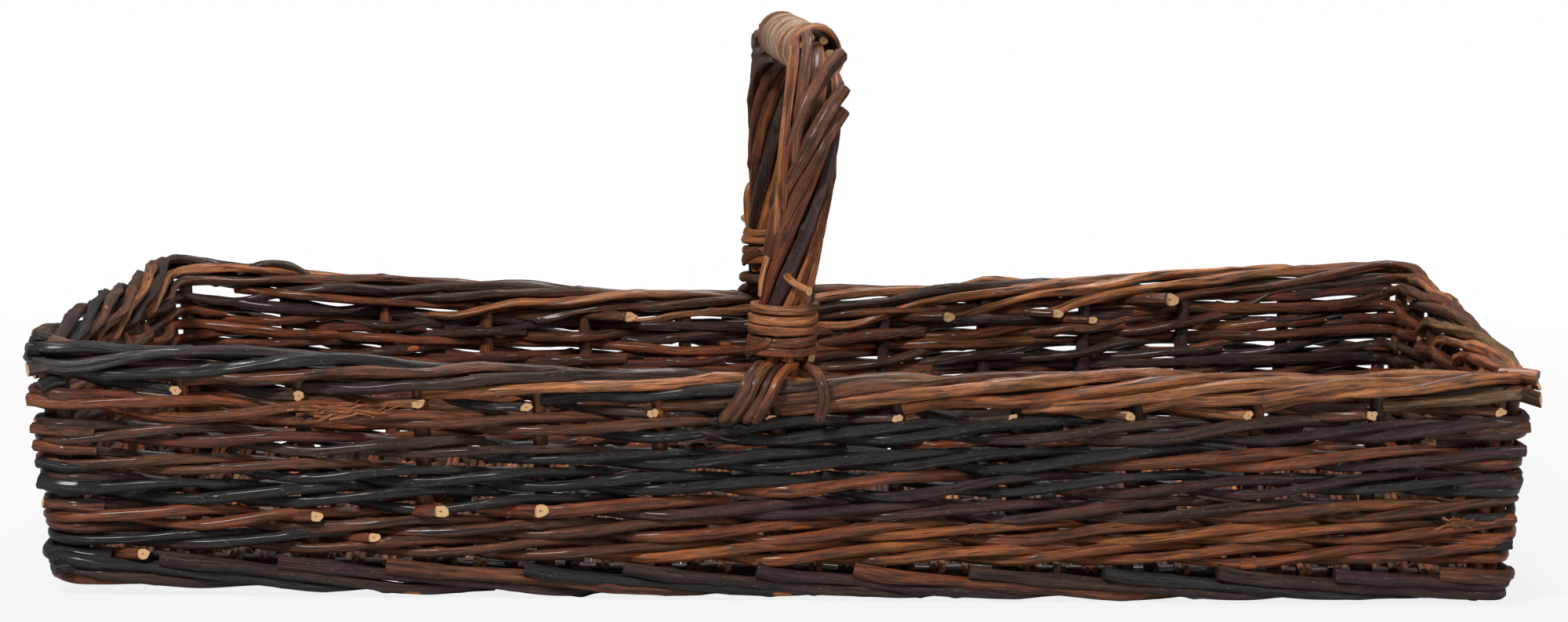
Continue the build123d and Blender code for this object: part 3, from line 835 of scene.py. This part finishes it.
foot_y = wall_frame(0, bow_foot_level)[1] - bow_inset
bend_y = wall_frame(0, wall_height)[1] - bow_inset
bend_z = wall_height + leg_bend_rise
crown_y = bend_y - crown_corner_inset
bow_corners = [(leg_x["front"], -foot_y, bow_foot_level), (leg_x["front"], -bend_y, bend_z),
               (front_crown_x, -crown_y, crown_height), (rear_crown_x, crown_y, crown_height),
               (leg_x["rear"], bend_y, bend_z), (leg_x["rear"], foot_y, bow_foot_level)]
bow_radii = (leg_bend_radius, crown_corner_radius, crown_corner_radius, leg_bend_radius)
bow_line = filleted(bow_corners, bow_radii, 1 * MM)
bow_lengths = lengths_along(bow_line)
bow_tangents = unit(np.gradient(bow_line, axis=0))
front_corner, rear_corner = np.array(bow_corners[2:4])
crown_direction = unit(rear_corner - front_corner)
crown_front = front_corner + crown_direction * crown_end
crown_rear = rear_corner - crown_direction * crown_end
handle_side = unit(np.cross(crown_direction, (0, 0, 1)))
# length of the bow from a foot to the crown's straight part
leg_length = bow_lengths[np.argmin(np.linalg.norm(bow_line - crown_front, axis=1))]


def leg_place(leg, distance, angle, radius):
    """Point beside a leg, at a length up the bow, turned by an angle from the handle's side.

    A quarter turn looks inwards, a half turn to the left and three quarters outwards.
    """
    along = distance if leg == "front" else bow_lengths[-1] - distance
    centre = between(along, bow_lengths, bow_line)
    upward = unit(between(along, bow_lengths, bow_tangents))
    across = np.cross(upward if leg == "front" else -upward, handle_side)
    return centre + handle_side * radius * cos(angle) + across * radius * sin(angle)


def on_grip(distance, angle, radius):
    """Point round the grip or the front leg under it, and the way out to it."""
    place = leg_place("front", distance, angle, radius)
    return place, unit(place - leg_place("front", distance, 0, 0))


def leg_line(leg, base, places):
    """Points beside a leg by their millimetres above a base, turns in degrees and radii."""
    return [leg_place(leg, base + up * MM, radians(turn), radius * MM) for up, turn, radius in places]


def rim_distance(leg):
    side = -1 if leg == "front" else 1
    rise = height_at(wall_height, leg_x[leg], side * rim_half_depth) - bow_foot_level
    return rise * hypot(1, (bend_y - foot_y) / (bend_z - bow_foot_level))


rods = Rods("bow_bark")
rods.rod(bow_line[::8], bow_rod, "copper", sides=16, step=2.5 * MM)
rods.piece(rope_bark, "bow", "handle_bow")

# Each roping rod: its bark and width share, and where it ends outside the wrap, how far up the leg
# it goes, its top's lean in millimetres and its extra turn
ropes = {
    "front": (("russet", 0.9), ("umber", 1.1, 0.89, 8, 0.18), ("copper", 1.08, 0.79, 8, 0.15),
              ("brown", 0.95, 0.74, 6, 0.1), ("rust", 0.85), ("plum", 1.0), ("copper", 0.95), ("tan", 0.9),
              ("russet", 1.0)),
    "rear": (("brown", 1.0), ("plum", 0.95, 0.95, 2.5, 0), ("rust", 0.9, 0.9, 2, 0), ("brown", 1.0),
             ("umber", 1.05), ("copper", 0.9, 0.96, 0, 0), ("russet", 1.0), ("brown", 0.9),
             ("plum", 1.0, 1.0, 1, 0)),
}
nicked_ropes = (1, 3, 6, 8)


def rope_points(leg, index, reach=1.0, lean=0, extra=0):
    """A roping rod's way up its leg: to its own top where that leans out, else into the wrap."""
    first = rim_distance(leg) + binding_rise[leg] - binding_width
    wrap_edge = leg_length - (wrap_on_bend if leg == "front" else 0)
    last = first + (wrap_edge - first) * reach if lean else wrap_edge + 4 * MM
    points = []
    for share in np.arange(17) / 16:
        distance = first + (last - first) * share
        angle = tau * (index / len(ropes[leg]) + (distance - first) / roping_pitch + extra * share ** 2)
        swell = roping_swell * sin(pi * min(share * reach, 1)) ** 2 + lean * MM * share ** 5
        if not lean:
            sunk = min(max((distance - wrap_edge) / (18 * MM) + 1, 0), 1)
            swell -= (tight_ring - tip_ring + 0.8 * MM) * sunk
        points.append(leg_place(leg, distance, angle, tight_ring + swell))
    return points


for leg in ("front", "rear"):
    rods = Rods(f"ropes_{leg}_bark", sides=16, step=1.6 * MM, taper=(1.08, 0.95), wrinkle=0.08,
                knot_gap=22 * MM, sway=0.35 * MM, ends=("cut", "bark"))
    for index, (tone, width, *top) in enumerate(ropes[leg]):
        rods.rod(rope_points(leg, index, *top), roping_rod * width, tone, nicks=int(index in nicked_ropes),
                 tone_end="brown" if top and top[1] else tone)
    rods.piece(rope_bark, "roping", f"roping_rods_{leg}")

rods = Rods("crown_tips_bark", sides=8)
for index in range(crown_tips):
    angle = tau * index / crown_tips
    beside = handle_side * tip_ring * cos(angle) + np.array((0, 0, 1)) * tip_ring * sin(angle)
    rods.rod([crown_front + beside, crown_rear + beside], tip_rod, "brown")
rods.piece(rope_bark, "roping", "crown_rod_tips")

# Crown wrap, whose first turns lean forward and swell
leaning_turns = 4
rods = Rods("crown_wrap_bark", step=1.4 * MM, wrinkle=0.07)
wrap_front = leg_length - wrap_on_bend
wrap_length = np.linalg.norm(crown_rear - crown_front) + wrap_on_bend
pitch = (wrap_length - wrap_width) / wrap_turns
loosen = [rods.random.uniform(-0.35, 0.35) * MM for _ in range(wrap_turns + 2)]
way = []
for step in range(wrap_turns * per_turn + 1):
    turn = step / per_turn
    angle = turn * tau
    lean = 7 * MM * max(1 - turn / leaning_turns, 0) * cos(angle)
    distance = wrap_front + wrap_width / 2 + pitch * turn + lean + loosen[int(turn)] * sin(pi * (turn % 1))
    way.append(on_grip(distance, angle, wrap_ring))
points, out = map(np.array, zip(*way))
swell = 1.8 * MM * np.clip(1 - np.arange(len(points)) / (per_turn * leaning_turns), 0, 1)
points = points + out * swell[:, None]
wrap_tones = "tan wrap tan wrap wrap wrap wrap wrap tan".split()
cuts = [part * len(points) // len(wrap_tones) for part in range(len(wrap_tones) + 1)]
for low, high, tone in zip(cuts, cuts[1:], wrap_tones):
    rods.rod(points[low:high + 1], wrap_width * 0.93, tone, sides=16, flat=wrap_thickness / wrap_width,
             facing=out[low:high + 1], smooth=False, sway=0.2 * MM, knot_gap=45 * MM, knot_size=0.3 * MM)
# Flat strands that leave the wrap and run down the front leg: length up from the wrap's end and turn
straps = (("tan", 3.8, ((14, 196), (4, 203), (-6, 206), (-20, 205), (-44, 206), (-66, 212), (-90, 222))),
          ("rust", 3.8, ((10, 222), (2, 226), (-8, 226), (-24, 221), (-44, 218), (-60, 222), (-72, 230))),
          ("brown", 4.2, ((6, 250), (0, 250), (-10, 248), (-26, 242), (-42, 240), (-56, 246))))
for tone, width, strap in straps:
    way = []
    for up, turn in strap:
        rise = np.interp(up, (-90, -74, -55, -30, -10, 0, 14), (-0.8, 1.6, 3.0, 3.0, 2.4, 2.2, -0.6))
        way.append(on_grip(wrap_front + up * MM, radians(turn), wrap_ring + rise * MM))
    points, out = zip(*way)
    rods.rod(points, width * MM, tone, flat=0.42, facing=out, sway=0.25 * MM, ends=both_bark,
             round_off=6 * MM)
rods.piece(wrap_bark, "wrap", "crown_wrap")


def wound(axis, side, angles, centre, rises, radius):
    """Points round an axis and the way out at each."""
    out = side * np.cos(angles)[:, None] + np.cross(axis, side) * np.sin(angles)[:, None]
    return centre + axis * rises[:, None] + out * radius, out


rods = Rods("leg_bindings_bark", sides=12, step=1.5 * MM)
for leg in ("front", "rear"):
    distance = rim_distance(leg) + binding_rise[leg] - binding_drop[leg]
    low = leg_place(leg, distance, 0, 0)
    high = leg_place(leg, distance + binding_pitch * (binding_turns[leg] - 1), 0, 0)
    axis = unit(high - low)
    side = unit(np.cross(np.cross(axis, handle_side), axis))
    angles = np.arange(binding_turns[leg] * per_turn + 1) * tau / per_turn
    points, out = wound(axis, side, angles, low, binding_pitch * angles / tau, binding_ring)
    rods.rod(points, binding_width, "rust", sides=16, step=1.2 * MM, flat=binding_thickness / binding_width,
             facing=out, smooth=False, sway=0.3 * MM, knot_gap=40 * MM, tone_end="tan", wrinkle=0.08)
    # the end of the binding, laid flat and slantwise over its lower turns
    points, out = wound(axis, side, np.radians((188, 200, 212, 224, 236, 248)), low,
                        np.linspace(0.5, 8.5, 6) * MM, binding_ring + 1.0 * MM)
    rods.rod(points, 4.0 * MM, "rust", flat=0.5, facing=out, knot_gap=0, ends=both_bark,
             round_off=3 * MM)
    # one loose turn below the rear binding
    if leg == "rear":
        angles = angles[:per_turn + 1]
        points, out = wound(axis, side, angles, low - axis * 7 * MM, 1.5 * MM * angles / tau,
                            binding_ring + 0.5 * MM)
        rods.rod(points, 4.2 * MM, "brown", smooth=False, knot_gap=20 * MM)
rods.piece(wrap_bark, "wrap", "leg_bindings")

# The roping rods' tails: four that fan out to the left, one to the right and three inside the border
tail_angles = (-150, -117, -84, -51)
fanned_tails = (("brown", -23.5, 1.05), ("tan", -19.6, 0.9), ("plum", -14.2, 0.84), ("copper", -10.6, 1.0))


def tail_start(leg, angle):
    distance = rim_distance(leg) + binding_rise[leg] - binding_width - 2.2 * MM
    return leg_place(leg, distance, radians(angle), tight_ring)


def outer_tail_points(leg, angle, shift, shares=(0.14, 0.34, 0.56)):
    """A tail over the border; shares say how far along it is above, round and beside the rim."""
    toward = -1 if leg == "front" else 1
    start = tail_start(leg, toward * -angle)
    bend = border_radius + tail_rod / 2 + rod_gap
    border_y = toward * wall_frame(0, border_level)[1]
    border_z = height_at(border_level, leg_x[leg], border_y)
    points = [start]
    for share, turn in zip(shares, (pi / 2, pi / 4, 0)):
        x = start[0] + (leg_x[leg] + shift - start[0]) * share
        points.append((x, border_y + toward * bend * cos(turn), border_z + bend * sin(turn)))
    end_z = height_at(wall_height, leg_x[leg], border_y) - tail_drop
    return points + [(leg_x[leg] + shift, border_y + toward * bend, end_z)]


for leg in ("front", "rear"):
    rods = Rods(f"tails_{leg}_bark", sides=16, step=1.3 * MM, wrinkle=0.09, ends=both_bark)
    for angle, (tone, shift, swell) in zip(tail_angles, fanned_tails):
        rods.rod(outer_tail_points(leg, angle, shift * MM), tail_rod * swell, tone, taper=(0.95, 1.0),
                 tone_end="brown", round_off=2.5 * MM, knot_gap=14 * MM)
    points = outer_tail_points(leg, -12, 15.5 * MM, (0.6, 1.0, 1.25))
    rods.rod(points, tail_rod, "brown", taper=(0.9, 1.1), round_off=1.5 * MM, knot_gap=18 * MM)
    for angle in tail_angles[1:]:
        start = tail_start(leg, angle if leg == "rear" else -angle)
        end_z = height_at(wall_height, start[0], start[1]) - tail_drop
        rods.rod([start, (start[0], start[1], end_z)], tail_rod, "rust", sides=12, step=2 * MM,
                 wrinkle=0.06, ends=("cut", "cut"))
    rods.piece(rope_bark, "roping", f"roping_tails_{leg}")

# Peg and splinter on the front leg, bent rod and peg over the rear binding
rods = Rods("handle_pegs", sides=12, step=1.5 * MM)
rim = rim_distance("front")
peg = leg_line("front", rim, ((41, 248, 9), (37.5, 272, 14.5), (34, 294, 17.5)))
rods.rod(peg, 3.7 * MM, "tan", taper=(0.8, 1.1), knot_gap=0, end_face=(1, -0.7, -0.2))
splinter = leg_line("front", rim, ((31, 205, 12.5), (40, 205, 13), (47, 208, 12)))
rods.rod(splinter, 2.6 * MM, "straw", sides=8, taper=(0.7, 1.1), knot_gap=0)
top = rim_distance("rear") + binding_rise["rear"] + binding_pitch * binding_turns["rear"]
loop = leg_line("rear", top, ((-4, 142, 12), (8, 140, 14.5), (17, 133, 15), (18.5, 112, 15), (8, 88, 14.5),
                              (-3, 78, 11.5)))
rods.rod(loop, 4.2 * MM, "tan", nicks=2, knot_gap=14 * MM)
peg = leg_line("rear", top, ((2, 138, 17), (6, 108, 17), (10, 84, 17)))
rods.rod(peg, 3.8 * MM, "straw", nicks=1, knot_gap=12 * MM)
rods.piece(rope_bark, "roping")

# Rod ends that stand out of the walls and corners, and torn bark, all in millimetres
rods = Rods("weaver_ends_bark", step=1.2 * MM)
random = rods.random

# ends between two stakes of a long wall: side, reach past the stakes, length, slant, bark, and the place
# and thickness of each
for side, reach, length, slant, tone, stubs in (
        (-1, 9.2, 18, 1.5, "rust", ((-185, 34, 4.4), (-135, 36.5, 5.4), (-95, 37, 5.4), (-162, 25.5, 3.8),
                                    (-255, 18, 4.2))),
        (1, -9.5, 30, 1, "brown", ((-74, 80, 4.6), (78, 81, 5), (130, 83, 4.6), (147, 80, 3.6),
                                   (184, 90, 6)))):
    length, slant, outward_y = length * MM, slant * MM, side * (reach * MM)
    for x, z, diameter in stubs:
        x, z = x * MM, z * MM
        line_y = side * wall_frame(0, z)[1]
        points = [(x - length, line_y - outward_y * 0.4, z - slant),
                  (x - length / 2, line_y + outward_y * 0.5, z - slant / 2), (x, line_y + outward_y, z)]
        rods.rod(points, diameter * MM, tone, sway=0.1 * MM, end_face=(0.35, side * np.sign(reach), 0.1))
# rod ends that stand out at the front corners: side, height, thickness, bark and kind of end
for side, z, diameter, tone, kind in (
        (-1, 79, 5.2, "rust", "bark"), (-1, 67, 4.8, "brown", "bark"), (-1, 60, 4.6, "rust", "bark"),
        (-1, 45, 6.2, "ink", "bark"), (-1, 53, 4.6, "ink", "bark"), (-1, 36, 4.6, "brown", "cut"),
        (-1, 16, 5.2, "ink", "bark"), (1, 72, 4.8, "brown", "bark"), (1, 62, 4.6, "plum", "bark"),
        (1, 50, 5.4, "umber", "bark"), (1, 34, 4.8, "rust", "bark"), (1, 24, 5.2, "ink", "bark")):
    end_x, face_y = wall_frame(1, z * MM)[1], wall_frame(0, z * MM)[1]
    points = [(side * (end_x - (20 - 8.5 * step) * MM), -face_y - (4.5 + step - 0.6 * step * step) * MM,
               (z + 0.5 * step) * MM) for step in range(4)]
    rods.rod(points, diameter * MM, tone, sway=0.3 * MM, wrinkle=0.1, knot_gap=14 * MM,
             end_face=(side, -0.4, random.normal(0, 0.3)), ends=("bark", kind))
# the loose rod over the rear border
border_y = wall_frame(0, border_level)[1]
loose = [(x * MM, border_y - 2 * MM, height_at(border_level, x * MM, border_y) + lift * MM)
         for x, lift in ((-262, 3), (-250, 8.2), (-238, 8.6), (-226, 4))]
rods.rod(loose, 3.2 * MM, "umber", ends=both_bark)
# ends of border and foot rods at the front corners: start, end, thickness, bark and kind of end
for start, end, diameter, tone, kind in (
        ((-286, -139, 98), (-300, -145, 101), 5.4, "coal", "bark"),
        ((-284, -142, 93), (-299, -148, 93), 5.2, "slate", "cut"),
        ((-285, -136, 101), (-297, -143, 106), 4.8, "umber", "bark"),
        ((-286, -143, 88), (-294, -148, 86), 5.0, "ink", "bark"),
        ((288, -140, 88), (303, -147, 85), 5.6, "brown", "cut"),
        ((288, -138, 94), (302, -145, 94), 5.2, "tan", "bark"),
        ((290, -130, 92), (304, -135, 90), 4.8, "brown", "cut"),
        ((-284, -140, 12), (-291, -145, 12), 5.6, "ink", "bark")):
    start, end = np.array(start) * MM, np.array(end) * MM
    rods.rod([start, (start + end) / 2 + (0, 0, 0.6 * MM), end], diameter * MM, tone, sway=0.1 * MM,
             wrinkle=0.1, end_face=end - start + random.normal(0, 3, 3) * MM, ends=("bark", kind))
# strips of torn bark on the front wall: centre, spread, count, bark, lengths and lift
for centre, spread, count, tone, lengths, lift in (
        ((-172, 77.5), (8, 0.8), 22, "copper", (9, 24), 1.5), ((-29, 63), (3, 2.5), 4, "umber", (6, 14), 3),
        ((-22, 74), (5, 1), 6, "umber", (5, 10), 2), ((270, 34), (4, 1.2), 10, "copper", (4, 9), 1)):
    for _ in range(count):
        length = random.uniform(*lengths) * MM
        x, z = np.array(centre) * MM + random.normal(0, 1, 2) * np.array(spread) * MM
        face = -wall_frame(0, z)[1] - 8.5 * MM
        turn = random.normal(0.12, 0.16)
        points = []
        for share in (-0.5, -0.2, 0.1, 0.4, 0.6):
            y = face - random.uniform(0, lift) * MM
            points.append((x + share * length * cos(turn), y,
                           z + share * length * sin(turn) + random.normal(0, 0.5) * MM))
        rods.rod(points, random.uniform(0.7, 1.7) * MM, tone, sides=6, step=1.5 * MM, flat=0.4, sway=0,
                 facing=[(0, -1, 0.3), (0.3, -1, -0.3)], knot_gap=0, taper=(1.0, 0.4), ends=both_bark)
rods.piece(wall_bark, "weavers")

# Floor, light and camera

floor_half = 30.0
corners = [(x * floor_half, y * floor_half, 0) for x, y in ((-1, -1), (1, -1), (1, 1), (-1, 1))]
floor_mesh = bpy.data.meshes.new("floor")
floor_mesh.from_pydata(corners, [], [(0, 1, 2, 3)])
floor = added("floor", floor_mesh)
n = Nodes(bpy.data.materials.new("floor_white"))
n.shade(Base_Color=(0.5, 0.5, 0.5, 1), Roughness=1.0)
seen = n.fed("LightPath", {}).outputs["Is Camera Ray"]
place = n.fed("TexCoord", {}).outputs["Object"]
reach = n.fed("VectorMath", {0: place}, operation="LENGTH").outputs["Value"]
glowing = n.maths("MULTIPLY", seen, n.ranged(reach, 0.35, 0.9, 0.84, 1.0))
glow = n.fed("Emission", {}).outputs[0]
blend = n.fed("MixShader", {0: glowing, 1: n.shader.outputs[0], 2: glow})
n.feed(blend.outputs[0], n.tree.nodes["Material Output"].inputs["Surface"])
floor_mesh.materials.append(n.owner)

world = bpy.data.worlds.new("studio")
scene.world = world
n = Nodes(world, "Background")
seen = n.fed("LightPath", {}).outputs["Is Camera Ray"]
n.shade(Color=(1, 1, 1, 1), Strength=n.ranged(seen, 0, 1, 0.13, 1.0))

# each lamp's place, the height of the point that it faces, its size and its power
for name, place, aim, size, power in (("key", (-0.8, -1.2, 1.5), 0.05, 0.35, 34),
                                      ("fill", (1.4, -1.2, 0.8), 0.05, 0.6, 12),
                                      ("top", (0.1, 0.6, 1.6), 0.1, 0.6, 22)):
    light = bpy.data.lights.new(name, "AREA")
    light.shape, light.size, light.energy = "DISK", size, power
    holder = added(name, light)
    holder.location = place
    direction = Vector((0, 0, aim)) - Vector(place)
    holder.rotation_euler = direction.to_track_quat("-Z", "Y").to_euler()

camera_data = bpy.data.cameras.new("photo_camera")
camera_data.sensor_width = 36
camera_data.lens = 80.03
camera = added("photo_camera", camera_data)
camera.location = (0.0120, -1.5192, 0.2916)
camera.rotation_euler = (radians(90 - 7.19), radians(-0.34), radians(0.46))
scene.camera = camera
scene.view_settings.view_transform = "Standard"
